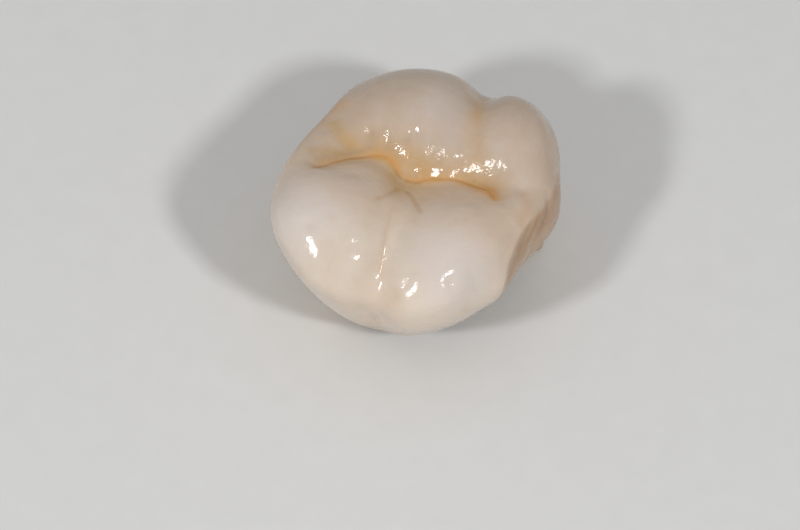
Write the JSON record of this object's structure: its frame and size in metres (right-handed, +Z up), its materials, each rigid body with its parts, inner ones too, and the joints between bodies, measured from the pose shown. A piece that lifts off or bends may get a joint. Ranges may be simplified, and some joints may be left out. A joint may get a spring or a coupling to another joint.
{
  "type": "ceramic dental crown",
  "caption": "Glazed ceramic crown for an upper molar, with rounded cusps, stained grooves, an arched margin and a hollow for the prepared tooth.",
  "frame": {"origin": "middle of the crown's outline in plan, on the plane that its margin stands on", "axes": "+Z up out of the biting surface, +X to the distal side (away from the front teeth), +Y to the palate side, so the cheek side with the arched margin faces -Y"},
  "size_m": [0.0102, 0.0117, 0.0078],
  "materials": {
    "ceramic": "gloss"
  },
  "bodies": {
    "root": {"crown": "ceramic"}
  },
  "joints": []
}
